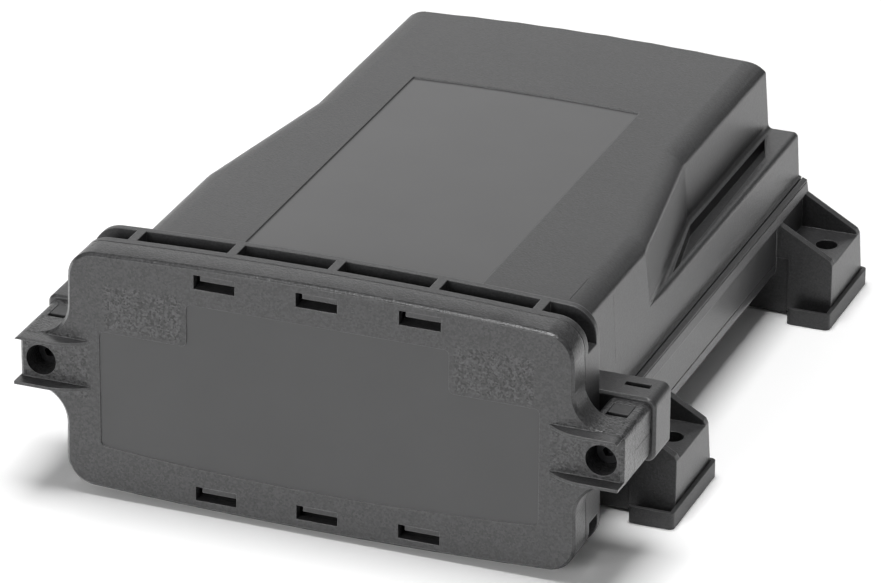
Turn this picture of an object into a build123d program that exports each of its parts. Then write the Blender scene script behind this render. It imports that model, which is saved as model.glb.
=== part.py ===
from build123d import *
import math
import os

# Moulded tunnel housing on four feet, closed at the front by a screwed cover.
# Millimetres. X runs across, Y from the cover to the closed rear end, Z up.
# The origin is on the ground, at the centre of the four foot holes.

# Feet and ends of the housing, along its length
foot_pitch_y = 138.0
foot_hole_dia = 6.6
front_overhang = 61.0
rear_overhang = 12.0
cover_depth = 8.6
parting_gap = 0.3
collar_depth = 11.1
collar_front_web = 2.5
collar_rear_web = 2.0

# Section of the hood's body
body_half_width = 68.2
wall_lean = 1.9
shoulder_step = 2.0
body_height = 59.7
body_crown = 2.3
shoulder_fall = 35.8
body_bottom_radius = 5.0
body_rear_radius = 1.6
base_line_z = 16.2
base_line_width = 0.3
base_line_depth = 0.3

# Outline that the cover and the collar share, seen from the front
ground_gap = 1.3
rim_proud_top = 7.4
rim_proud_low = 5.1
rim_rise = 6.6
rim_fall = 8.2
rim_crown = 2.0
rim_corner_radius = 8.3

# Soft roll-off from the hood's top to its sides, and the corner that it ends in
roll_run = 8.0
roll_drop = 3.6
roll_lift = 0.05
roll_spare = 0.3
roll_corner_radius = 1.5

# Cavity of the hood
side_wall = 2.7
top_wall = 2.8
floor_wall = 2.8
rear_wall = 2.8
cavity_radius = 6.0

# Side recess: a diagonal face, then a straight wall, above a shelf
shelf_rise = 13.6
recess_length = 131.0
recess_run = 58.3
recess_depth = 8.1
recess_draft = 4.4
recess_floor_radius = 1.5
recess_wall = 2.8
shelf_wall = 5.8
shelf_edge_radius = 1.6
shelf_edge_start = 0.15
shelf_edge_run = 14.0

# Sink in the shelf: a long sliver with its point to the front
sink_depth = 3.6
sink_start = 23.1
sink_knee_lead = 2.2
sink_inner_gap = 1.5
sink_point_ridge = 1.5
sink_heel_ridge = 3.3
sink_rear_inset = 8.0
sink_heel_inset = 20.9

# Bead along the long sides, with two fine grooves
bead_fall = 1.1
bead_height = 3.7
bead_proud = 1.1
bead_slope = 1.1
bead_draft = 0.5
bead_root = 0.7
bead_groove_inset = 1.6
bead_groove_width = 0.45
bead_groove_depth = 0.7
bead_line_fall = 0.45
bead_line_width = 0.25
bead_line_depth = 0.4

# Field on the hood's top
field_half_width = 35.2
field_rear_inset = 51.0
field_depth = 0.4

# Pockets in the collar
pocket_rib = 2.7
pocket_rib_count = 5
pocket_rib_inset = 14.5
pocket_side_drop = 11.8
pocket_low_gap = 3.8
pocket_end_radius = 2.5
pocket_corner_radius = 6.0

# Board guides inside the hood
guide_rise = 4.6
guide_gap = 2.2
guide_rib = 1.5
guide_reach = 3.2
guide_start = 4.0

# Front of the cover
cover_face_wall = 2.8
cover_rim_wall = 2.6
cover_edge = 0.9
panel_depth = 0.4
panel_side_inset = 9.2
panel_bottom_inset = 12.0
panel_bottom_bow = 2.6
panel_top_inset = 12.2
panel_tab_height = 12.8
panel_middle_half_width = 38.4
panel_corner_radius = 1.5

# Slots in the cover and the tongues in them
slot_pitch = 30.0
slot_width = 12.1
slot_height = 4.2
slot_top_inset = 2.9
slot_low_inset = 3.1
tongue_width = 10.1
tongue_thick = 1.5
tongue_gap = 0.12
tongue_set_back = 0.3

# Cover lugs
lug_lift = 0.45
lug_reach = 14.9
lug_half_height = 8.2
lug_radius = 2.2
lug_depth = 21.5
lug_gap = 1.0
swoop_radius = 10.0

# Fins on the lugs: the upper ones lie flush with the lugs' tops
fin_thick = 0.9
fin_reach = 4.3
fin_run = 21.4
fin_flat = 10.1
fin_low_inset = 1.6
fin_root = 2.0

# Hood lugs
nut_lug_depth = 12.0
nut_lug_proud = 1.3
nut_lug_gap = 0.15
nut_lug_radius = 2.6
nut_lug_edge = 0.7

# Screws and nuts
screw_inset = 6.4
screw_dia = 4.0
screw_head_dia = 7.0
screw_head_height = 4.0
screw_socket_width = 3.0
screw_socket_depth = 2.2
screw_seat_depth = 10.0
screw_length = 20.0
screw_clearance = 0.5
screw_hole_spare = 2.0
head_hole_dia = 9.0
nut_width = 7.0
nut_thick = 2.2
nut_clearance = 0.3
nut_set_back = 6.1

# Screw retainers
retainer_set_back = 2.9
retainer_length = 5.6
retainer_width = 6.0
retainer_gap = 0.15
retainer_finger_gap = 1.9
retainer_leg = 4.0

# Seal between the cover and the hood's lip
lip_height = 3.9
lip_wall = 1.6
lip_offset = 0.2
channel_wall = 1.0
channel_clearance = 0.3
channel_gap = 0.6
seal_side_gap = 0.1

# Feet
foot_hole_reach = 11.1
foot_outer_reach = 6.4
foot_root = 9.2
foot_step_inset = 7.3
foot_step = 0.5
foot_front = 14.2
foot_rear = 12.4
foot_deck_z = 17.9
foot_base_z = 1.9
foot_inner_base_z = 0.8
foot_flare_front = 0.8
foot_flare_rear = 2.3
foot_flare_side = 0.2
foot_wall = 2.6
foot_boss_dia = 12.0
gusset_thick = 2.4
gusset_tuck = 0.4
gusset_end_drop = 1.4
gusset_end_run = 0.7

# Shoes under the feet
shoe_height = 5.0
shoe_rim = 1.2
shoe_inner_reach = 5.4
shoe_side_gap = 0.1
shoe_front_room = 4.4
shoe_rear_gap = 0.3
shoe_radius = 1.5

# How far the bodies that cut reach past what they cut
beyond = 20.0
over = 1.0

# Widths, heights and stations worked out from the sizes above
body_half_width_top = body_half_width - wall_lean
body_half_width_low = body_half_width + shoulder_step
body_bottom_z = ground_gap + rim_fall
body_top_z = body_bottom_z + body_height
body_shoulder_z = body_top_z - shoulder_fall
rim_half_width_top = body_half_width_top + rim_proud_top
rim_half_width_low = body_half_width_low + rim_proud_low
rim_top_z = body_top_z + rim_rise
rim_bottom_z = ground_gap
rim_mid_z = (rim_top_z + rim_bottom_z) / 2
cavity_half_width_top = body_half_width_top - side_wall
cavity_half_width_low = body_half_width - side_wall
cavity_top_z = body_top_z - top_wall
cavity_bottom_z = body_bottom_z + floor_wall
bead_top_z = body_shoulder_z - bead_fall
bead_half_width = body_half_width_low + bead_proud
guide_z = body_shoulder_z + guide_rise
lug_z = rim_mid_z + lug_lift
lug_half_width = rim_half_width_top + lug_reach
lug_inner_x = rim_half_width_low + lug_gap
screw_x = lug_half_width - screw_inset
lug_top_z = lug_z + lug_half_height
lug_low_z = lug_z - lug_half_height
fin_tip_x = lug_half_width - fin_run
fin_full_x = lug_half_width - fin_flat
pocket_high_end_z = rim_top_z - pocket_side_drop
pocket_low_end_z = body_bottom_z + pocket_low_gap
pocket_rib_pitch = 2 * (rim_half_width_top - pocket_rib_inset) / (pocket_rib_count - 1)
panel_half_width = rim_half_width_top - panel_side_inset
panel_bottom_z = rim_bottom_z + panel_bottom_inset
panel_top_z = rim_top_z - panel_top_inset
panel_tab_z = panel_top_z - panel_tab_height
slot_high_z = rim_top_z - slot_top_inset
slot_low_z = rim_bottom_z + slot_low_inset + slot_height
foot_hole_x = body_half_width_low + foot_hole_reach
foot_outer_x = foot_hole_x + foot_outer_reach
foot_inner_x = body_half_width_low - foot_root
shoe_inner_x = foot_hole_x - shoe_inner_reach
gusset_top_z = bead_top_z - bead_height + gusset_tuck
cover_face_y = -foot_pitch_y / 2 - front_overhang
housing_rear_y = foot_pitch_y / 2 + rear_overhang
cover_back_y = cover_face_y + cover_depth
collar_front_y = cover_back_y + parting_gap
collar_back_y = collar_front_y + collar_depth
lug_back_y = cover_face_y + lug_depth
nut_lug_front_y = lug_back_y + nut_lug_gap
nut_lug_back_y = nut_lug_front_y + nut_lug_depth
nut_back_y = nut_lug_front_y + nut_set_back + nut_thick
screw_seat_y = cover_face_y + screw_seat_depth
screw_tip_y = screw_seat_y + screw_length
shank_hole_dia = screw_dia + screw_clearance
retainer_front_y = screw_seat_y + retainer_set_back
retainer_back_y = retainer_front_y + retainer_length
lip_front_y = collar_front_y - lip_height
recess_shelf_z = body_shoulder_z + shelf_rise
recess_half_width = body_half_width_top - recess_depth
recess_tip_y = housing_rear_y - recess_length
recess_knee_y = recess_tip_y + recess_run
field_rear_y = housing_rear_y - field_rear_inset


def across(y):
    """Plane across the housing at a station, with local axes X and Z; extruding it goes forwards."""
    return Plane.XZ.offset(-y)


def bowed_outline(half_top, half_low, top_z, bottom_z, crown, radius, grow=0.0):
    """Rectangle with crowned top and bottom edges and round corners, grown on every side."""
    with BuildSketch() as outline:
        with BuildLine():
            ThreePointArc((-half_top, top_z - crown), (0, top_z), (half_top, top_z - crown))
            Line((half_top, top_z - crown), (half_low, bottom_z + crown))
            ThreePointArc((half_low, bottom_z + crown), (0, bottom_z), (-half_low, bottom_z + crown))
            Line((-half_low, bottom_z + crown), (-half_top, top_z - crown))
        make_face()
        fillet(outline.vertices(), radius)
        if grow:
            offset(amount=grow)
    return outline.sketch


def rim_outline(grow=0.0):
    """Outline of the cover and the collar without the lugs."""
    return bowed_outline(rim_half_width_top, rim_half_width_low, rim_top_z, rim_bottom_z,
                         rim_crown, rim_corner_radius, grow)


def mouth_outline(grow=0.0):
    """Outline of the hood's cavity."""
    return bowed_outline(cavity_half_width_top, cavity_half_width_low, cavity_top_z, cavity_bottom_z,
                         rim_crown, cavity_radius, grow)


def body_outline():
    """Outside section of the hood: leaning walls, a shoulder and a lower wall."""
    low_top_z = body_shoulder_z - shoulder_step
    with BuildSketch() as outline:
        with BuildLine():
            ThreePointArc((-body_half_width_top, body_top_z - body_crown), (0, body_top_z),
                          (body_half_width_top, body_top_z - body_crown))
            Polyline((body_half_width_top, body_top_z - body_crown),
                     (body_half_width, body_shoulder_z),
                     (body_half_width_low, low_top_z),
                     (body_half_width_low, body_bottom_z),
                     (-body_half_width_low, body_bottom_z),
                     (-body_half_width_low, low_top_z),
                     (-body_half_width, body_shoulder_z),
                     (-body_half_width_top, body_top_z - body_crown))
        make_face()
        fillet(outline.vertices().group_by(Axis.Y)[0], body_bottom_radius)
    return outline.sketch


def wall_x(z):
    """Half width of the hood's leaning upper wall at a height."""
    lean = (body_half_width - body_half_width_top) / (body_top_z - body_crown - body_shoulder_z)
    return body_half_width - lean * (z - body_shoulder_z)


def roll_off_section(edge_x):
    """What the soft roll-off takes away, in section, for a side wall at the given place."""
    start_x = edge_x - roll_run
    start_z = body_top_z - body_crown * (start_x / body_half_width_top) ** 2 + roll_lift
    end_x = edge_x + roll_spare
    end_z = start_z - roll_drop
    slope = 2 * body_crown * start_x / body_half_width_top ** 2
    with BuildSketch() as section:
        with BuildLine():
            TangentArc((start_x, start_z), (end_x, end_z), tangent=(1, -slope))
            Polyline((end_x, end_z), (end_x + roll_run, end_z),
                     (end_x + roll_run, start_z + roll_drop),
                     (start_x, start_z + roll_drop), (start_x, start_z))
        make_face()
    return section.sketch


def cover_outline():
    """Outline of the cover: the rim, a lug on each side, and the swoops that lead into the lugs."""
    with BuildSketch() as outline:
        add(rim_outline())
        with Locations((0, lug_z)):
            Rectangle(2 * lug_half_width, 2 * lug_half_height)
        roots = outline.vertices().filter_by(lambda v: abs(v.X) < lug_inner_x
                                             and min(abs(v.Y - lug_top_z), abs(v.Y - lug_low_z)) < fin_thick)
        fillet(roots, swoop_radius)
        fillet(outline.vertices().filter_by(lambda v: abs(v.X) > lug_half_width - lug_radius), lug_radius)
    return outline.sketch


def edge_rounding(radius):
    """What rounding takes off the shelf's outer edge, in section."""
    outer_x = wall_x(recess_shelf_z - radius)
    with BuildSketch() as section:
        with BuildLine():
            TangentArc((outer_x - radius, recess_shelf_z), (outer_x, recess_shelf_z - radius),
                       tangent=(1, 0))
            Polyline((outer_x, recess_shelf_z - radius), (outer_x + radius, recess_shelf_z - radius),
                     (outer_x + radius, recess_shelf_z + radius),
                     (outer_x - radius, recess_shelf_z + radius), (outer_x - radius, recess_shelf_z))
        make_face()
    return section.sketch


def recess_cutter(grow=0.0, drop=0.0, radius=recess_floor_radius):
    """What the side recess takes away on the right, grown sideways and dropped by a wall."""
    slope = (wall_x(recess_shelf_z) - recess_half_width) / (recess_knee_y - recess_tip_y)
    reach = beyond * 2
    outer_x = wall_x(recess_shelf_z) + beyond
    with BuildPart() as cutter:
        with BuildSketch(Plane.XY.offset(recess_shelf_z - drop)) as plan:
            Polygon((recess_half_width, recess_knee_y), (recess_half_width, housing_rear_y + reach),
                    (outer_x, housing_rear_y + reach), (outer_x, recess_tip_y - beyond / slope),
                    align=None)
            if grow:
                offset(amount=grow, kind=Kind.INTERSECTION)
        extrude(amount=body_top_z - recess_shelf_z + drop + beyond, taper=-recess_draft)
        floor_edges = cutter.edges().group_by(Axis.Z)[0]
        inner_edges = floor_edges.filter_by(lambda e: e.center().X < outer_x - grow - over
                                            and e.center().Y < housing_rear_y + reach - over)
        fillet(inner_edges, radius)
    return cutter.part


def both_sides(right_part):
    """A right-hand feature and its mirror image."""
    return [right_part, right_part.mirror(Plane.YZ)]


rim_sketch = rim_outline()
body_sketch = body_outline()
cover_sketch = cover_outline()

# Foot: a hollow block with a deck, two gussets and a boss, drawn with its hole at the origin
foot_far_x = foot_outer_x - foot_hole_x
foot_near_x = foot_inner_x - foot_hole_x
foot_length = foot_front + foot_rear
with BuildPart() as foot:
    for inset, near_x, far_x, flare_side, base_z in (
            (0.0, -foot_step_inset, foot_far_x, foot_flare_side, foot_base_z),
            (foot_step, foot_near_x, -foot_step_inset, 0.0, foot_inner_base_z)):
        with BuildSketch(Plane.XY.offset(base_z)):
            with Locations((near_x, inset - foot_front - foot_flare_front)):
                Rectangle(far_x + flare_side - near_x,
                          foot_length + foot_flare_front + foot_flare_rear - 2 * inset,
                          align=(Align.MIN, Align.MIN))
        with BuildSketch(Plane.XY.offset(foot_deck_z)):
            with Locations((near_x, inset - foot_front)):
                Rectangle(far_x - near_x, foot_length - 2 * inset, align=(Align.MIN, Align.MIN))
        loft()
    with BuildSketch(Plane.XY):
        with Locations((foot_near_x + foot_wall, foot_wall - foot_front)):
            Rectangle(foot_far_x - foot_near_x - 2 * foot_wall, foot_length - 2 * foot_wall,
                      align=(Align.MIN, Align.MIN))
        Circle(foot_boss_dia / 2, mode=Mode.SUBTRACT)
    extrude(amount=foot_deck_z - foot_wall, mode=Mode.SUBTRACT)
    for gusset_y in (gusset_thick - foot_front, foot_rear):
        with BuildSketch(across(gusset_y)):
            Polygon((foot_near_x, gusset_top_z), (-foot_hole_reach, gusset_top_z),
                    (foot_far_x - gusset_end_run, foot_deck_z + gusset_end_drop),
                    (foot_far_x, foot_deck_z), (foot_near_x, foot_deck_z), align=None)
        extrude(amount=gusset_thick)
    with Locations((0, 0, foot_deck_z)):
        Hole(foot_hole_dia / 2)

# Cavity of the hood, stepped in where the side recess is, with the board guides left standing
with BuildPart() as cavity:
    with BuildSketch(across(housing_rear_y - rear_wall)):
        add(mouth_outline())
    extrude(amount=housing_rear_y - rear_wall - collar_front_y + beyond)
    for recess in both_sides(recess_cutter(recess_wall, shelf_wall, recess_floor_radius + recess_wall)):
        add(recess, mode=Mode.SUBTRACT)
    guide_length = housing_rear_y - collar_back_y - guide_start
    for side in (-1, 1):
        for rib_z in (guide_z - guide_gap / 2 - guide_rib, guide_z + guide_gap / 2):
            with BuildSketch(across(housing_rear_y)):
                with Locations((side * (cavity_half_width_low - guide_reach), rib_z)):
                    Rectangle(guide_reach * 2, guide_rib,
                              align=(Align.MIN if side > 0 else Align.MAX, Align.MIN))
            extrude(amount=guide_length, mode=Mode.SUBTRACT)

# Pockets round the collar, open outwards, between the front and the rear web
pocket_depth = collar_depth - collar_front_web - collar_rear_web
with BuildPart() as pockets:
    with BuildSketch(across(collar_back_y - collar_rear_web)):
        add(rim_outline(over))
        add(bowed_outline(body_half_width_top, body_half_width_low, body_top_z, body_bottom_z,
                          body_crown, pocket_corner_radius), mode=Mode.SUBTRACT)
        with Locations((0, (pocket_high_end_z + pocket_low_end_z) / 2)):
            Rectangle(4 * rim_half_width_low, pocket_high_end_z - pocket_low_end_z, mode=Mode.SUBTRACT)
        with Locations((0, rim_mid_z)):
            with GridLocations(pocket_rib_pitch, 0, pocket_rib_count, 1):
                Rectangle(pocket_rib, 2 * rim_top_z, mode=Mode.SUBTRACT)
    extrude(amount=pocket_depth)
    end_edges = pockets.edges().filter_by(Axis.Y).filter_by(
        lambda e: abs(e.center().X) < body_half_width_low + foot_step
        and min(abs(e.center().Z - pocket_high_end_z), abs(e.center().Z - pocket_low_end_z)) < foot_step)
    fillet(end_edges, pocket_end_radius)

# Roll-off that follows the side wall, the diagonal and the narrower rear block
roll_edge_z = body_top_z - body_crown - roll_drop
rear_edge_x = recess_half_width - math.tan(math.radians(recess_draft)) * (roll_edge_z - recess_shelf_z)
with BuildPart() as roll_off:
    for edge_x, station_y in ((wall_x(roll_edge_z), collar_front_y - over),
                              (wall_x(roll_edge_z), recess_tip_y),
                              (rear_edge_x, recess_knee_y),
                              (rear_edge_x, housing_rear_y + over)):
        with BuildSketch(across(station_y)):
            add(roll_off_section(edge_x))
    loft(ruled=True)

# Nut lugs, as one bar across the body before the cavity is cut
with BuildPart() as nut_lugs:
    with BuildSketch(across(nut_lug_back_y)):
        with Locations((0, lug_z)):
            RectangleRounded(2 * (lug_half_width + nut_lug_proud),
                             2 * (lug_half_height + nut_lug_proud), nut_lug_radius)
    extrude(amount=nut_lug_depth)
    chamfer(nut_lugs.faces().sort_by(Axis.Y)[0].outer_wire().edges(), nut_lug_edge)

# Rounding of the shelf's outer edge, which grows from the recess's tip
with BuildPart() as shelf_edge:
    for radius, station_y in ((shelf_edge_start, recess_tip_y),
                              (shelf_edge_radius, recess_tip_y + shelf_edge_run),
                              (shelf_edge_radius, housing_rear_y + over)):
        with BuildSketch(across(station_y)):
            add(edge_rounding(radius))
    loft(ruled=True)

# Sinks in the shelves
shelf_outer_x = wall_x(recess_shelf_z)
sink_inner_x = recess_half_width + sink_inner_gap
with BuildPart() as sink:
    with BuildSketch(Plane.XY.offset(recess_shelf_z - sink_depth)):
        Polygon((shelf_outer_x - sink_point_ridge, recess_tip_y + sink_start),
                (shelf_outer_x - sink_heel_ridge, housing_rear_y - sink_heel_inset),
                (sink_inner_x, housing_rear_y - sink_rear_inset),
                (sink_inner_x, recess_knee_y - sink_knee_lead), align=None)
    extrude(amount=sink_depth + over)

# Grooves that run along a long side: two on the bead and one at the foot of the lower wall
bead_corner_x = bead_half_width - bead_draft
groove_x = bead_corner_x - bead_groove_inset
groove_z = bead_top_z + bead_slope * bead_groove_inset / (bead_corner_x - body_half_width)
line_z = bead_top_z - bead_line_fall
with BuildPart() as grooves:
    with BuildSketch(across(housing_rear_y + over)):
        with Locations((groove_x, groove_z)):
            Rectangle(bead_groove_width, 2 * bead_groove_depth)
        with Locations((bead_corner_x + bead_draft, line_z)):
            Rectangle(2 * (bead_line_depth + bead_draft), bead_line_width)
        with Locations((body_half_width_low, base_line_z)):
            Rectangle(2 * base_line_depth, base_line_width)
    extrude(amount=housing_rear_y - collar_back_y)

# Hood: the long moulding
with BuildPart() as hood:
    with BuildSketch(across(housing_rear_y)):
        add(body_sketch)
    extrude(amount=housing_rear_y - collar_front_y)
    fillet(hood.faces().sort_by(Axis.Y)[-1].edges().sort_by(Axis.Z)[-1], body_rear_radius)
    for recess in both_sides(recess_cutter()):
        add(recess, mode=Mode.SUBTRACT)
    for roll in both_sides(roll_off.part):
        add(roll, mode=Mode.SUBTRACT)
    corner_edges = hood.edges().filter_by(
        lambda e: e.length > roll_run and abs(e.center().X) > rear_edge_x - over
        and abs(e.center().Z - roll_edge_z) < roll_drop / 2)
    fillet(corner_edges, roll_corner_radius)
    for trim in both_sides(shelf_edge.part) + both_sides(sink.part):
        add(trim, mode=Mode.SUBTRACT)

    # Collar, lip and bead
    with BuildSketch(across(collar_back_y)):
        add(rim_sketch)
    extrude(amount=collar_depth)
    with BuildSketch(across(collar_front_y)):
        add(mouth_outline(lip_offset + lip_wall))
    extrude(amount=lip_height)
    bead_base_x = body_half_width - bead_root
    with BuildSketch(across(housing_rear_y)):
        for side in (-1, 1):
            Polygon((side * bead_base_x, bead_top_z + bead_slope),
                    (side * body_half_width, bead_top_z + bead_slope),
                    (side * (bead_half_width - bead_draft), bead_top_z),
                    (side * bead_half_width, bead_top_z - bead_height),
                    (side * body_half_width_low, bead_top_z - bead_height - bead_draft),
                    (side * bead_base_x, bead_top_z - bead_height - bead_draft), align=None)
    extrude(amount=housing_rear_y - collar_back_y)
    for groove in both_sides(grooves.part):
        add(groove, mode=Mode.SUBTRACT)

    # Nut lugs behind the cover's lugs
    add(nut_lugs.part)

    # Feet
    for foot_y in (-foot_pitch_y / 2, foot_pitch_y / 2):
        for placed_foot in both_sides(foot.part.moved(Location((foot_hole_x, foot_y, 0)))):
            add(placed_foot)

    add(cavity.part, mode=Mode.SUBTRACT)
    add(pockets.part, mode=Mode.SUBTRACT)

    # Field on the top
    field_drop = body_crown * (field_half_width / body_half_width_top) ** 2
    with BuildSketch(across(field_rear_y)):
        with BuildLine():
            ThreePointArc((-field_half_width, body_top_z - field_drop - field_depth),
                          (0, body_top_z - field_depth),
                          (field_half_width, body_top_z - field_drop - field_depth))
            Polyline((field_half_width, body_top_z - field_drop - field_depth),
                     (field_half_width, body_top_z + over), (-field_half_width, body_top_z + over),
                     (-field_half_width, body_top_z - field_drop - field_depth))
        make_face()
    extrude(amount=field_rear_y - collar_back_y, mode=Mode.SUBTRACT)

    # Screw holes and nut slots in the nut lugs
    with BuildSketch(across(screw_tip_y + screw_hole_spare)):
        with Locations((-screw_x, lug_z), (screw_x, lug_z)):
            Circle(shank_hole_dia / 2)
    extrude(amount=screw_tip_y + screw_hole_spare - nut_lug_front_y + over, mode=Mode.SUBTRACT)
    nut_slot_width = nut_width + nut_clearance
    nut_slot_low = lug_z - nut_slot_width / 2
    nut_slot_high = lug_top_z + nut_lug_proud + over
    nut_mid_y = nut_back_y - nut_thick / 2
    with BuildSketch(Plane.XY.offset(nut_slot_low)):
        with Locations((-screw_x, nut_mid_y), (screw_x, nut_mid_y)):
            Rectangle(nut_slot_width, nut_thick + nut_clearance)
    extrude(amount=nut_slot_high - nut_slot_low, mode=Mode.SUBTRACT)

    # Locating tongues that stand in the cover's slots
    tongue_reach = collar_front_y - cover_face_y - tongue_set_back
    tongue_left = slot_width / 2 - tongue_gap - tongue_width
    with BuildSketch(across(collar_front_y)):
        for slot in (-1, 0, 1):
            for top_z in (slot_high_z, slot_low_z):
                with Locations((slot * slot_pitch + tongue_left, top_z - tongue_gap)):
                    Rectangle(tongue_width, tongue_thick, align=(Align.MIN, Align.MAX))
    extrude(amount=tongue_reach)
hood.part.label = "hood"

# Fins of the right lug: thin plates that end on the lug's outline
with BuildPart() as fins:
    for fin_z in (lug_top_z - fin_thick, lug_low_z + fin_low_inset):
        with BuildSketch(Plane.XY.offset(fin_z)):
            with BuildLine():
                Polyline((fin_tip_x, cover_face_y), (fin_tip_x, cover_face_y + fin_root),
                         (lug_half_width, cover_face_y + fin_root),
                         (lug_half_width, cover_face_y - fin_reach),
                         (fin_full_x, cover_face_y - fin_reach))
                TangentArc((fin_full_x, cover_face_y - fin_reach), (fin_tip_x, cover_face_y),
                           tangent=(-1, 0))
            make_face()
        extrude(amount=fin_thick)
    with BuildSketch(across(cover_face_y + fin_root)):
        add(cover_sketch)
    extrude(amount=fin_root + fin_reach, mode=Mode.INTERSECT)

# Front cover: a shallow tray with a seal channel, lugs and fins
with BuildPart() as front_cover:
    with BuildSketch(across(cover_back_y)):
        add(cover_sketch)
    extrude(amount=cover_depth)
    face = front_cover.faces().sort_by(Axis.Y)[0]
    chamfer(face.outer_wire().edges(), cover_edge)

    # Inside of the tray and the two walls of the seal channel
    with BuildSketch(across(cover_back_y)):
        add(rim_outline(-cover_rim_wall))
    extrude(amount=cover_depth - cover_face_wall, mode=Mode.SUBTRACT)
    channel_outer = lip_offset + lip_wall + channel_clearance
    channel_inner = lip_offset - channel_clearance
    with BuildSketch(across(cover_back_y - channel_gap)):
        add(mouth_outline(channel_outer + channel_wall))
        add(mouth_outline(channel_outer), mode=Mode.SUBTRACT)
        add(mouth_outline(channel_inner))
        add(mouth_outline(channel_inner - channel_wall), mode=Mode.SUBTRACT)
    extrude(amount=cover_depth - channel_gap - cover_face_wall)

    # Lug blocks behind the plate
    with BuildSketch(across(lug_back_y)):
        for side in (-1, 1):
            with Locations((side * (lug_inner_x + lug_half_width) / 2, lug_z)):
                RectangleRounded(lug_half_width - lug_inner_x, 2 * lug_half_height, lug_radius)
    extrude(amount=lug_depth - cover_depth / 2)

    # Panel on the front face
    with BuildSketch(across(cover_face_y + panel_depth)):
        with BuildLine():
            ThreePointArc((-panel_half_width, panel_bottom_z + panel_bottom_bow), (0, panel_bottom_z),
                          (panel_half_width, panel_bottom_z + panel_bottom_bow))
            Polyline((panel_half_width, panel_bottom_z + panel_bottom_bow),
                     (panel_half_width, panel_tab_z), (panel_middle_half_width, panel_tab_z),
                     (panel_middle_half_width, panel_top_z), (-panel_middle_half_width, panel_top_z),
                     (-panel_middle_half_width, panel_tab_z), (-panel_half_width, panel_tab_z),
                     (-panel_half_width, panel_bottom_z + panel_bottom_bow))
        panel = make_face()
        fillet(panel.vertices(), panel_corner_radius)
    extrude(amount=panel_depth + over, mode=Mode.SUBTRACT)

    # Slots for the locating tongues
    with BuildSketch(across(cover_back_y)):
        for slot in (-1, 0, 1):
            for top_z in (slot_high_z, slot_low_z):
                with Locations((slot * slot_pitch, top_z)):
                    Rectangle(slot_width, slot_height, align=(Align.CENTER, Align.MAX))
    extrude(amount=cover_depth + over, mode=Mode.SUBTRACT)

    # Fins above and below each screw hole
    for fin in both_sides(fins.part):
        add(fin)

    # Screw holes, with room for the heads
    for hole_dia, hole_end_y in ((head_hole_dia, screw_seat_y), (shank_hole_dia, lug_back_y)):
        with BuildSketch(across(hole_end_y)):
            with Locations((-screw_x, lug_z), (screw_x, lug_z)):
                Circle(hole_dia / 2)
        extrude(amount=hole_end_y - cover_face_y + over, mode=Mode.SUBTRACT)

    # Windows for the screw retainers
    window_front_y = retainer_front_y - retainer_finger_gap
    window_back_y = retainer_back_y + retainer_gap
    window_low_z = lug_z - retainer_leg - retainer_gap
    with BuildSketch(Plane.XY.offset(window_low_z)):
        for side in (-1, 1):
            with Locations((side * screw_x, (window_front_y + window_back_y) / 2)):
                Rectangle(retainer_width + 2 * retainer_gap, window_back_y - window_front_y)
    extrude(amount=lug_top_z - window_low_z + over, mode=Mode.SUBTRACT)
front_cover.part.label = "front_cover"

# Seal ring in the cover's channel, pressed by the hood's lip
with BuildPart() as cover_seal:
    with BuildSketch(across(lip_front_y)):
        add(mouth_outline(channel_outer - seal_side_gap))
        add(mouth_outline(channel_inner + seal_side_gap), mode=Mode.SUBTRACT)
    extrude(amount=lip_front_y - cover_face_y - cover_face_wall)
cover_seal.part.label = "cover_seal"

# Two socket head screws
with BuildPart() as cover_screws:
    with Locations((-screw_x, screw_seat_y, lug_z), (screw_x, screw_seat_y, lug_z)):
        Cylinder(screw_head_dia / 2, screw_head_height, rotation=(90, 0, 0),
                 align=(Align.CENTER, Align.CENTER, Align.MIN))
        Cylinder(screw_dia / 2, screw_length, rotation=(90, 0, 0),
                 align=(Align.CENTER, Align.CENTER, Align.MAX))
    with BuildSketch(across(screw_seat_y - screw_head_height + screw_socket_depth)):
        with Locations((-screw_x, lug_z), (screw_x, lug_z)):
            RegularPolygon(screw_socket_width / 2, 6, major_radius=False)
    extrude(amount=screw_socket_depth + over, mode=Mode.SUBTRACT)
cover_screws.part.label = "cover_screws"

# Two square nuts
with BuildPart() as square_nuts:
    with BuildSketch(across(nut_back_y)):
        with Locations((-screw_x, lug_z), (screw_x, lug_z)):
            Rectangle(nut_width, nut_width)
            Circle(screw_dia / 2, mode=Mode.SUBTRACT)
    extrude(amount=nut_thick)
square_nuts.part.label = "square_nuts"

# Screw retainers: a block in each lug window, forked over the screw's shank
retainers = []
for side, side_name in ((-1, "left"), (1, "right")):
    with BuildPart() as retainer:
        with BuildSketch(across(retainer_back_y)):
            with Locations((side * screw_x, lug_z - retainer_leg)):
                Rectangle(retainer_width, lug_half_height + retainer_leg,
                          align=(Align.CENTER, Align.MIN))
            with Locations((side * screw_x, lug_z)):
                Circle(screw_dia / 2 + retainer_gap, mode=Mode.SUBTRACT)
                Rectangle(screw_dia + 2 * retainer_gap, 2 * retainer_leg,
                          align=(Align.CENTER, Align.MAX), mode=Mode.SUBTRACT)
        extrude(amount=retainer_length)
    retainer.part.label = "screw_retainer_" + side_name
    retainers.append(retainer.part)

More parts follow.
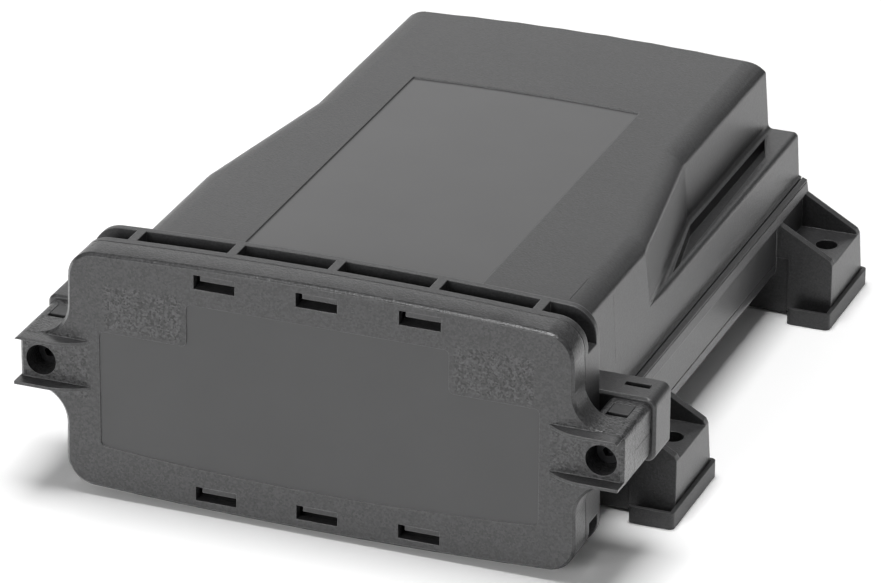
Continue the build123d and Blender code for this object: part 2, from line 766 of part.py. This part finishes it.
# Shoes: low trays under the outer halves of the feet, open on their inner sides
shoe_outer_x = foot_outer_x + foot_flare_side + shoe_side_gap + shoe_rim
shoe_width = shoe_outer_x - shoe_inner_x
shoe_mid_x = (shoe_outer_x + shoe_inner_x) / 2
shoe_front = foot_front + foot_flare_front + shoe_front_room + shoe_rim
shoe_rear = foot_rear + foot_flare_rear + shoe_rear_gap + shoe_rim
shoe_length = shoe_front + shoe_rear
shoe_shift = (shoe_rear - shoe_front) / 2
shoes = []
for side, side_name in ((-1, "left"), (1, "right")):
    for end, end_name in ((-1, "front"), (1, "rear")):
        hole_y = end * foot_pitch_y / 2
        with BuildPart() as shoe:
            with BuildSketch():
                with Locations((side * shoe_mid_x, hole_y + shoe_shift)):
                    RectangleRounded(shoe_width, shoe_length, shoe_radius)
            extrude(amount=shoe_height)
            with BuildSketch(Plane.XY.offset(foot_base_z)):
                with Locations((side * (shoe_mid_x - shoe_rim), hole_y + shoe_shift)):
                    Rectangle(shoe_width, shoe_length - 2 * shoe_rim)
            extrude(amount=shoe_height, mode=Mode.SUBTRACT)
            with Locations((side * foot_hole_x, hole_y, shoe_height)):
                Hole(foot_hole_dia / 2)
        shoe.part.label = "foot_shoe_" + end_name + "_" + side_name
        shoes.append(shoe.part)

os.makedirs("parts", exist_ok=True)
export_step(hood.part, "parts/hood.step")
export_step(front_cover.part, "parts/front_cover.step")
export_step(cover_seal.part, "parts/cover_seal.step")
export_step(cover_screws.part, "parts/cover_screws.step")
export_step(square_nuts.part, "parts/square_nuts.step")
for piece in retainers + shoes:
    export_step(piece, "parts/" + piece.label + ".step")
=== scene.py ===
import bpy
import math
from mathutils import Matrix, Vector

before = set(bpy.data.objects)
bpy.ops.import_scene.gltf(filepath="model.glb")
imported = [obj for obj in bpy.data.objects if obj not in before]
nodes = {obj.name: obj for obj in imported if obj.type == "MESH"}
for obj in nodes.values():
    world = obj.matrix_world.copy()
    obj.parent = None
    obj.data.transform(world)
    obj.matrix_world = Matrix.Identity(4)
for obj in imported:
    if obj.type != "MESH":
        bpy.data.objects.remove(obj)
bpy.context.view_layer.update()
mm = 0.001

print("frame loaded:", len(nodes), "nodes")


# small helpers for node trees

def addNode(tree, kind, inputs=None, **values):
    node = tree.nodes.new(kind)
    for key, value in values.items():
        setattr(node, key, value)
    for key, value in (inputs or {}).items():
        node.inputs[key].default_value = value
    return node


# a wire where the source is a socket, and otherwise a fixed value
def feed(tree, source, target):
    if isinstance(source, bpy.types.NodeSocket):
        tree.links.new(source, target)
    else:
        target.default_value = source


def addMath(tree, operation, *terms):
    node = addNode(tree, "ShaderNodeMath", operation=operation)
    for slot, term in enumerate(terms):
        feed(tree, term, node.inputs[slot])
    return node.outputs[0]


def addVectorMath(tree, operation, *terms):
    node = addNode(tree, "ShaderNodeVectorMath", operation=operation)
    for slot, term in enumerate(terms):
        feed(tree, term, node.inputs[slot])
    return node


def newGroup(name, inputs, outputs):
    group = bpy.data.node_groups.new(name, "ShaderNodeTree")
    for socketName, kind in inputs:
        group.interface.new_socket(socketName, in_out="INPUT", socket_type="NodeSocket" + kind)
    for socketName, kind in outputs:
        group.interface.new_socket(socketName, in_out="OUTPUT", socket_type="NodeSocket" + kind)
    start = group.nodes.new("NodeGroupInput")
    end = group.nodes.new("NodeGroupOutput")
    return group, start, end


def useGroup(tree, group, inputs):
    node = tree.nodes.new("ShaderNodeGroup")
    node.node_tree = group
    for key, value in inputs.items():
        feed(tree, value, node.inputs[key])
    return node


def newMaterial(name):
    material = bpy.data.materials.new(name)
    material.use_nodes = True
    return material, material.node_tree


# box mask: 1 within a box and 0 outside it, fading over its last stretch inside
def makeBoxMask():
    group, start, end = newGroup(
        "boxMask",
        [("Vector", "Vector"), ("Centre", "Vector"), ("Half Size", "Vector"), ("Soft", "Float")],
        [("Mask", "Float")])
    away = addVectorMath(group, "SUBTRACT", start.outputs["Vector"], start.outputs["Centre"])
    far = addVectorMath(group, "ABSOLUTE", away.outputs[0])
    past = addVectorMath(group, "SUBTRACT", far.outputs[0], start.outputs["Half Size"])
    parts = addNode(group, "ShaderNodeSeparateXYZ")
    feed(group, past.outputs[0], parts.inputs[0])
    mostXy = addMath(group, "MAXIMUM", parts.outputs[0], parts.outputs[1])
    fade = addNode(group, "ShaderNodeMapRange", interpolation_type="SMOOTHSTEP",
                   inputs={"From Max": 0.0, "To Min": 1.0, "To Max": 0.0})
    feed(group, addMath(group, "MAXIMUM", mostXy, parts.outputs[2]), fade.inputs["Value"])
    feed(group, addMath(group, "MULTIPLY", start.outputs["Soft"], -1.0), fade.inputs["From Min"])
    feed(group, fade.outputs[0], end.inputs["Mask"])
    return group


# moulded grain: fine spark-eroded bumps and specks over a slow waviness, and none where it is polished
def makeMouldGrain(settings):
    group, start, end = newGroup(
        "mouldGrain",
        [("Vector", "Vector"), ("Grain", "Float"), ("Specks", "Float"), ("Polish", "Float")],
        [("Height", "Float"), ("Tone", "Float")])
    fine = addNode(group, "ShaderNodeTexNoise",
                   inputs={"Detail": settings["fineDetail"], "Roughness": settings["fineRoughness"]})
    pits = addNode(group, "ShaderNodeTexVoronoi", feature="SMOOTH_F1",
                   inputs={"Smoothness": settings["pitSmoothness"]})
    cells = addNode(group, "ShaderNodeTexVoronoi", feature="F1")
    slow = addNode(group, "ShaderNodeTexNoise",
                   inputs={"Scale": settings["slowScale"], "Detail": settings["slowDetail"]})
    for texture in (fine, pits, cells, slow):
        feed(group, start.outputs["Vector"], texture.inputs["Vector"])
    for texture in (fine, pits, cells):
        feed(group, start.outputs["Grain"], texture.inputs["Scale"])

    unpolished = addMath(group, "SUBTRACT", 1.0, start.outputs["Polish"])
    pitShare = settings["pitShare"]
    bumps = addMath(group, "MULTIPLY_ADD", pits.outputs["Distance"], pitShare, fine.outputs[0])
    feed(group, addMath(group, "MULTIPLY", bumps, unpolished), end.inputs["Height"])

    pick = addNode(group, "ShaderNodeSeparateColor")  # one random value for each cell
    feed(group, cells.outputs["Color"], pick.inputs[0])
    offset = addMath(group, "SUBTRACT", pick.outputs[0], 0.5)
    specks = addMath(group, "MULTIPLY", offset, start.outputs["Specks"])
    lowest, highest = settings["slowRange"]
    darkest, lightest = settings["toneRange"]
    waves = addNode(group, "ShaderNodeMapRange",
                    inputs={"From Min": lowest, "From Max": highest, "To Min": darkest, "To Max": lightest})
    feed(group, slow.outputs[0], waves.inputs["Value"])
    feed(group, addMath(group, "MULTIPLY_ADD", specks, unpolished, waves.outputs[0]), end.inputs["Tone"])
    return group


boxMask = makeBoxMask()
mouldGrain = makeMouldGrain(dict(
    fineDetail=2.0, fineRoughness=0.6, pitSmoothness=0.6, pitShare=0.55,
    slowScale=45.0, slowDetail=3.0, slowRange=(0.3, 0.7), toneRange=(0.95, 1.05)))
print("node groups ready")


# the greatest of one mask for each box, with the boxes in millimetres
def maskBoxes(tree, place, boxes, soft):
    total = None
    for low, high in boxes.values():
        centre = [(a + b) / 2 * mm for a, b in zip(low, high)]
        half = [(b - a) / 2 * mm for a, b in zip(low, high)]
        values = {"Vector": place, "Centre": centre, "Half Size": half, "Soft": soft * mm}
        mask = useGroup(tree, boxMask, values).outputs["Mask"]
        total = mask if total is None else addMath(tree, "MAXIMUM", total, mask)
    return total


# soft edges of the masks in mm, the coarse areas' noise, and where the painted edge highlights start and
# are full
mouldShading = dict(polishSoft=0.25, coarseSoft=1.5, markSoft=0.12, coarseScale=1800.0, coarseDetail=1.0,
                    edgeHighlightStart=0.985, edgeHighlightFull=0.86, edgeSamples=6)


# one moulded plastic: base colour, grain, polished fields whose lighter colour is a painted sheen, coarse
# areas, fine tool lines and the rim seam darkened with painted shade, and painted edge highlights
def mouldedPlastic(name, settings):
    material, tree = newMaterial(name)
    shader = tree.nodes["Principled BSDF"]
    shader.inputs["IOR"].default_value = settings["ior"]
    shader.inputs["Roughness"].default_value = settings["roughness"]
    place = addNode(tree, "ShaderNodeTexCoord").outputs["Object"]
    grain = useGroup(tree, mouldGrain,
                     {"Vector": place, "Grain": settings["grain"], "Specks": settings["specks"]})
    height = grain.outputs["Height"]
    tone = grain.outputs["Tone"]
    colour = settings["colour"]

    if "polished" in settings:
        polishAndSheen = maskBoxes(tree, place, settings["polished"], mouldShading["polishSoft"])
        feed(tree, polishAndSheen, grain.inputs["Polish"])
        # the polished fields' lighter colour is a painted sheen; their roughness is their own
        paintedSheenMix = addNode(tree, "ShaderNodeMix", data_type="RGBA",
                             inputs={6: (*settings["colour"], 1), 7: (*settings["polishedSheenColour"], 1)})
        feed(tree, polishAndSheen, paintedSheenMix.inputs[0])
        colour = paintedSheenMix.outputs[2]
        gloss = addNode(tree, "ShaderNodeMapRange",
                        inputs={"To Min": settings["roughness"], "To Max": settings["polishedRoughness"]})
        feed(tree, polishAndSheen, gloss.inputs["Value"])
        feed(tree, gloss.outputs[0], shader.inputs["Roughness"])

    if "coarse" in settings:
        coarse = maskBoxes(tree, place, settings["coarse"], mouldShading["coarseSoft"])
        blotch = addNode(tree, "ShaderNodeTexNoise",
                         inputs={"Scale": mouldShading["coarseScale"],
                                 "Detail": mouldShading["coarseDetail"]})
        feed(tree, place, blotch.inputs["Vector"])
        taller = addMath(tree, "MULTIPLY", coarse, settings["coarseHeight"])
        height = addMath(tree, "MULTIPLY_ADD", blotch.outputs[0], taller, height)
        more = addMath(tree, "MULTIPLY_ADD", coarse, settings["coarseSpecks"], settings["specks"])
        feed(tree, more, grain.inputs["Specks"])

    if "marksWithPaintedShade" in settings:
        marksWithPaintedShade = maskBoxes(tree, place, settings["marksWithPaintedShade"], mouldShading["markSoft"])
        # the lines are shallow grooves in the bump, and their darker tone is painted shade; along the rim
        # seam it is painted shadow in the gap between cover and hood
        height = addMath(tree, "MULTIPLY_ADD", marksWithPaintedShade, -settings["markDepth"], height)
        tone = addMath(tree, "MULTIPLY_ADD", marksWithPaintedShade, -settings["markPaintedShade"], tone)

    rounding = addNode(tree, "ShaderNodeBevel", samples=mouldShading["edgeSamples"],
                       inputs={"Radius": settings["rounding"] * mm})
    bump = addNode(tree, "ShaderNodeBump",
                   inputs={"Strength": settings["bump"], "Distance": settings["grainDepth"] * mm})
    feed(tree, rounding.outputs[0], bump.inputs["Normal"])
    feed(tree, height, bump.inputs["Height"])
    feed(tree, bump.outputs[0], shader.inputs["Normal"])

    # edges, where the rounded normal leaves the flat one, are painted a little lighter: a painted highlight
    # on outer and inner edges alike
    flat = addNode(tree, "ShaderNodeNewGeometry")
    turn = addVectorMath(tree, "DOT_PRODUCT", rounding.outputs[0], flat.outputs["Normal"])
    edge = addNode(tree, "ShaderNodeMapRange",
                   inputs={"From Min": mouldShading["edgeHighlightStart"], "From Max": mouldShading["edgeHighlightFull"]})
    feed(tree, turn.outputs["Value"], edge.inputs["Value"])
    tinted = addVectorMath(tree, "SCALE", colour)
    feed(tree, tone, tinted.inputs["Scale"])
    paintedEdgeHighlight = addNode(tree, "ShaderNodeMix", data_type="RGBA", inputs={7: (*settings["edgeHighlightColour"], 1)})
    feed(tree, edge.outputs[0], paintedEdgeHighlight.inputs[0])
    feed(tree, tinted.outputs[0], paintedEdgeHighlight.inputs[6])
    feed(tree, paintedEdgeHighlight.outputs[2], shader.inputs["Base Color"])
    return material


def paint(start, material):
    for nodeName, node in nodes.items():
        if nodeName.startswith(start):
            node.data.materials.clear()
            node.data.materials.append(material)


# places are boxes in mm, from low corner to high corner; grain is in cells to the metre
# the edge colour in each finish is a painted highlight along the edges
hoodFinish = dict(
    colour=(0.036, 0.036, 0.037), polishedSheenColour=(0.050, 0.050, 0.051), edgeHighlightColour=(0.11, 0.11, 0.112),
    roughness=0.37, polishedRoughness=0.32, ior=1.5, rounding=0.5,
    grain=2100.0, grainDepth=0.08, bump=0.7, specks=0.5, markDepth=6.0, markPaintedShade=0.6,
    # the polished colour is lighter than the grained one: a painted sheen
    polished=dict(roofField=((-35.2, -110.5, 67.0), (35.2, 30.0, 69.0))),
    # the darker tone on these lines is painted shade, and along the rim seam it is painted shadow
    marksWithPaintedShade=dict(sideLine=((66.0, -78.7, 42.0), (68.5, -78.4, 64.0)),
               roofLine=((59.8, -95.0, 66.0), (60.1, -81.0, 68.5)),
               rimSeamPaintedShadow=((-76.0, -121.2, 0.0), (76.0, -120.85, 80.0))))
paint("hood", mouldedPlastic("hoodPlastic", hoodFinish))

coverFinish = dict(
    colour=(0.040, 0.040, 0.041), polishedSheenColour=(0.043, 0.043, 0.044), edgeHighlightColour=(0.12, 0.12, 0.122),
    roughness=0.28, polishedRoughness=0.34, ior=1.5, rounding=0.32,
    grain=1900.0, grainDepth=0.10, bump=0.8, specks=0.75, coarseHeight=1.8, coarseSpecks=1.1,
    markDepth=5.0, markPaintedShade=0.75,
    # the polished colour is lighter than the grained one: a painted sheen
    polished=dict(panel=((-64.5, -129.85, 8.0), (64.5, -129.2, 66.0))),
    coarse=dict(leftTab=((-63.5, -132.5, 51.3), (-39.2, -127.5, 66.0)),
                rightTab=((39.2, -132.5, 51.3), (63.5, -127.5, 66.0)),
                leftLug=((-90.0, -131.0, 29.0), (-67.0, -106.0, 49.0)),
                rightLug=((67.0, -131.0, 29.0), (90.0, -106.0, 49.0))),
    # the darker tone on these lines is painted shade, and along the rim seam it is painted shadow
    marksWithPaintedShade=dict(lugUpright=((88.3, -121.5, 30.0), (89.2, -121.15, 48.5)),
               lugLevel=((88.3, -121.4, 38.85), (89.2, -108.0, 39.2)),
               rimSeamPaintedShadow=((-76.0, -121.7, 0.0), (76.0, -121.3, 80.0))))
paint("front_cover", mouldedPlastic("coverPlastic", coverFinish))

sealFinish = dict(colour=(0.03, 0.03, 0.03), edgeHighlightColour=(0.04, 0.04, 0.04), roughness=0.6, ior=1.45,
                  rounding=0.3, grain=1500.0, grainDepth=0.03, bump=0.3, specks=0.3)
paint("cover_seal", mouldedPlastic("sealRubber", sealFinish))

clipFinish = dict(colour=(0.030, 0.030, 0.031), edgeHighlightColour=(0.05, 0.05, 0.051), roughness=0.45, ior=1.5,
                  rounding=0.2, grain=2400.0, grainDepth=0.04, bump=0.4, specks=0.5)
paint("screw_retainer", mouldedPlastic("clipPlastic", clipFinish))

shoeFinish = dict(colour=(0.032, 0.032, 0.033), edgeHighlightColour=(0.07, 0.07, 0.071), roughness=0.50, ior=1.45,
                  rounding=0.4, grain=2400.0, grainDepth=0.05, bump=0.4, specks=0.5)
paint("foot_shoe", mouldedPlastic("shoePlastic", shoeFinish))


# blackened steel of the screws and nuts
def blackSteel(settings):
    material, tree = newMaterial("screwSteel")
    shader = tree.nodes["Principled BSDF"]
    shader.inputs["Metallic"].default_value = 1.0
    place = addNode(tree, "ShaderNodeTexCoord").outputs["Object"]
    noise = addNode(tree, "ShaderNodeTexNoise",
                    inputs={"Scale": settings["scale"], "Detail": settings["detail"]})
    gloss = addNode(tree, "ShaderNodeMapRange",
                    inputs={"To Min": settings["roughLow"], "To Max": settings["roughHigh"]})
    tint = addNode(tree, "ShaderNodeMix", data_type="RGBA",
                   inputs={6: (*settings["dark"], 1), 7: (*settings["light"], 1)})
    feed(tree, place, noise.inputs["Vector"])
    feed(tree, noise.outputs[0], gloss.inputs["Value"])
    feed(tree, noise.outputs[0], tint.inputs[0])
    feed(tree, gloss.outputs[0], shader.inputs["Roughness"])
    feed(tree, tint.outputs[2], shader.inputs["Base Color"])
    return material


steel = blackSteel(dict(scale=900.0, detail=4.0, roughLow=0.28, roughHigh=0.45,
                        dark=(0.012, 0.012, 0.013), light=(0.03, 0.03, 0.031)))
paint("cover_screws", steel)
paint("square_nuts", steel)
print("materials ready")

# edges: the small pieces get a fine bevel, and the large mouldings are rounded in their shading alone
edgeFinish = dict(weld=0.00001, angle=28.0, segments=2,
                  widths=dict(foot_shoe=0.25, screw_retainer=0.12, cover_screws=0.12, square_nuts=0.12))
for nodeName, node in nodes.items():
    weld = node.modifiers.new("weld", "WELD")
    weld.merge_threshold = edgeFinish["weld"]
    for start, width in edgeFinish["widths"].items():
        if nodeName.startswith(start):
            bevel = node.modifiers.new("edges", "BEVEL")
            bevel.limit_method = "ANGLE"
            bevel.angle_limit = math.radians(edgeFinish["angle"])
            bevel.width = width * mm
            bevel.segments = edgeFinish["segments"]
    normals = node.modifiers.new("normals", "WEIGHTED_NORMAL")
    normals.keep_sharp = True
print("edges ready")


# a large square of paper, lighter to the camera and in reflections than to the other rays
def makeFloor(settings):
    size = settings["size"]
    mesh = bpy.data.meshes.new("floor")
    corners = [(-size, -size, 0), (size, -size, 0), (size, size, 0), (-size, size, 0)]
    mesh.from_pydata(corners, [], [(0, 1, 2, 3)])
    floor = bpy.data.objects.new("floor", mesh)
    floor.location.z = -settings["gap"]
    bpy.context.collection.objects.link(floor)
    material, tree = newMaterial("floorPaper")
    tree.nodes.clear()
    albedo = settings["albedo"]
    rays = addNode(tree, "ShaderNodeLightPath")
    seen = addMath(tree, "MULTIPLY_ADD", rays.outputs["Is Camera Ray"], settings["seen"] - albedo, albedo)
    extra = settings["mirrored"] - albedo
    mirrored = addMath(tree, "MULTIPLY_ADD", rays.outputs["Is Glossy Ray"], extra, seen)
    paper = addNode(tree, "ShaderNodeBsdfDiffuse")
    out = addNode(tree, "ShaderNodeOutputMaterial")
    feed(tree, mirrored, paper.inputs["Color"])
    feed(tree, paper.outputs[0], out.inputs[0])
    mesh.materials.append(material)


makeFloor(dict(size=6.0, gap=0.0001, albedo=0.8, seen=1.06, mirrored=1.40))


# the room: white to the camera, and otherwise dim and a little lighter overhead than at the horizon
def makeWorld(settings):
    world = bpy.data.worlds.new("studio")
    bpy.context.scene.world = world
    world.use_nodes = True
    tree = world.node_tree
    tree.nodes.clear()
    rays = addNode(tree, "ShaderNodeLightPath")
    way = addNode(tree, "ShaderNodeTexCoord")
    parts = addNode(tree, "ShaderNodeSeparateXYZ")
    rise = addNode(tree, "ShaderNodeMapRange", interpolation_type="SMOOTHSTEP",
                   inputs={"From Min": settings["bandLow"], "From Max": settings["bandHigh"],
                           "To Min": settings["horizon"], "To Max": settings["sky"]})
    white = addNode(tree, "ShaderNodeBackground", inputs={"Color": (1, 1, 1, 1), "Strength": 1.0})
    dim = addNode(tree, "ShaderNodeBackground", inputs={"Color": (1, 1, 1, 1)})
    choose = addNode(tree, "ShaderNodeMixShader")
    out = addNode(tree, "ShaderNodeOutputWorld")
    feed(tree, way.outputs["Generated"], parts.inputs[0])
    feed(tree, parts.outputs[2], rise.inputs["Value"])
    feed(tree, rise.outputs[0], dim.inputs["Strength"])
    feed(tree, rays.outputs["Is Camera Ray"], choose.inputs[0])
    feed(tree, dim.outputs[0], choose.inputs[1])
    feed(tree, white.outputs[0], choose.inputs[2])
    feed(tree, choose.outputs[0], out.inputs[0])


makeWorld(dict(sky=0.17, horizon=0.12, bandLow=0.12, bandHigh=0.50))


def addSoftbox(name, settings):
    light = bpy.data.lights.new(name, "AREA")
    light.shape = "RECTANGLE"
    light.size, light.size_y = settings["size"]
    light.energy = settings["energy"]
    lamp = bpy.data.objects.new(name, light)
    lamp.location = settings["place"]
    towards = Vector(settings["aim"]) - Vector(settings["place"])
    lamp.rotation_euler = towards.to_track_quat("-Z", "Y").to_euler()
    bpy.context.collection.objects.link(lamp)


softboxes = {
    "overhead": dict(size=(0.75, 0.75), energy=21.5, place=(0.0, -0.05, 1.6), aim=(0, 0, 0)),
    "front": dict(size=(1.0, 0.7), energy=23.0, place=(-0.45, -2.0, 0.55), aim=(0, 0, 0.04)),
    "backdrop": dict(size=(2.6, 1.1), energy=10.5, place=(-0.9, 2.2, 0.95), aim=(0, 0, 0.05)),
}
for name, settings in softboxes.items():
    addSoftbox(name, settings)


# the camera looks down on the cover's right-hand corner: angles in degrees, lengths in metres, lens in mm
cameraSettings = dict(azimuth=21.200, elevation=25.042, roll=0.422, distance=1.6417,
                      aim=(0.0, -0.130, 0.0089), right=0.03428, up=0.05926,
                      focal=244.4, film=36.0, farthest=20.0)


def makeCamera(settings):
    azimuth, elevation, roll = (math.radians(settings[key]) for key in ("azimuth", "elevation", "roll"))
    forward = Vector((-math.sin(azimuth) * math.cos(elevation), math.cos(azimuth) * math.cos(elevation),
                      -math.sin(elevation)))
    level = Vector((math.cos(azimuth), math.sin(azimuth), 0))
    upright = level.cross(forward)
    right = math.cos(roll) * level + math.sin(roll) * upright
    up = -math.sin(roll) * level + math.cos(roll) * upright
    lens = bpy.data.cameras.new("camera")
    lens.lens = settings["focal"]
    lens.sensor_width = settings["film"]
    lens.clip_end = settings["farthest"]
    camera = bpy.data.objects.new("camera", lens)
    aside = right * settings["right"] + up * settings["up"]
    place = Vector(settings["aim"]) + aside - forward * settings["distance"]
    turn = Matrix((right, up, -forward)).transposed().to_4x4()
    camera.matrix_world = Matrix.Translation(place) @ turn
    bpy.context.collection.objects.link(camera)
    bpy.context.scene.camera = camera


makeCamera(cameraSettings)
bpy.context.scene.view_settings.view_transform = "Standard"
print("stage ready")
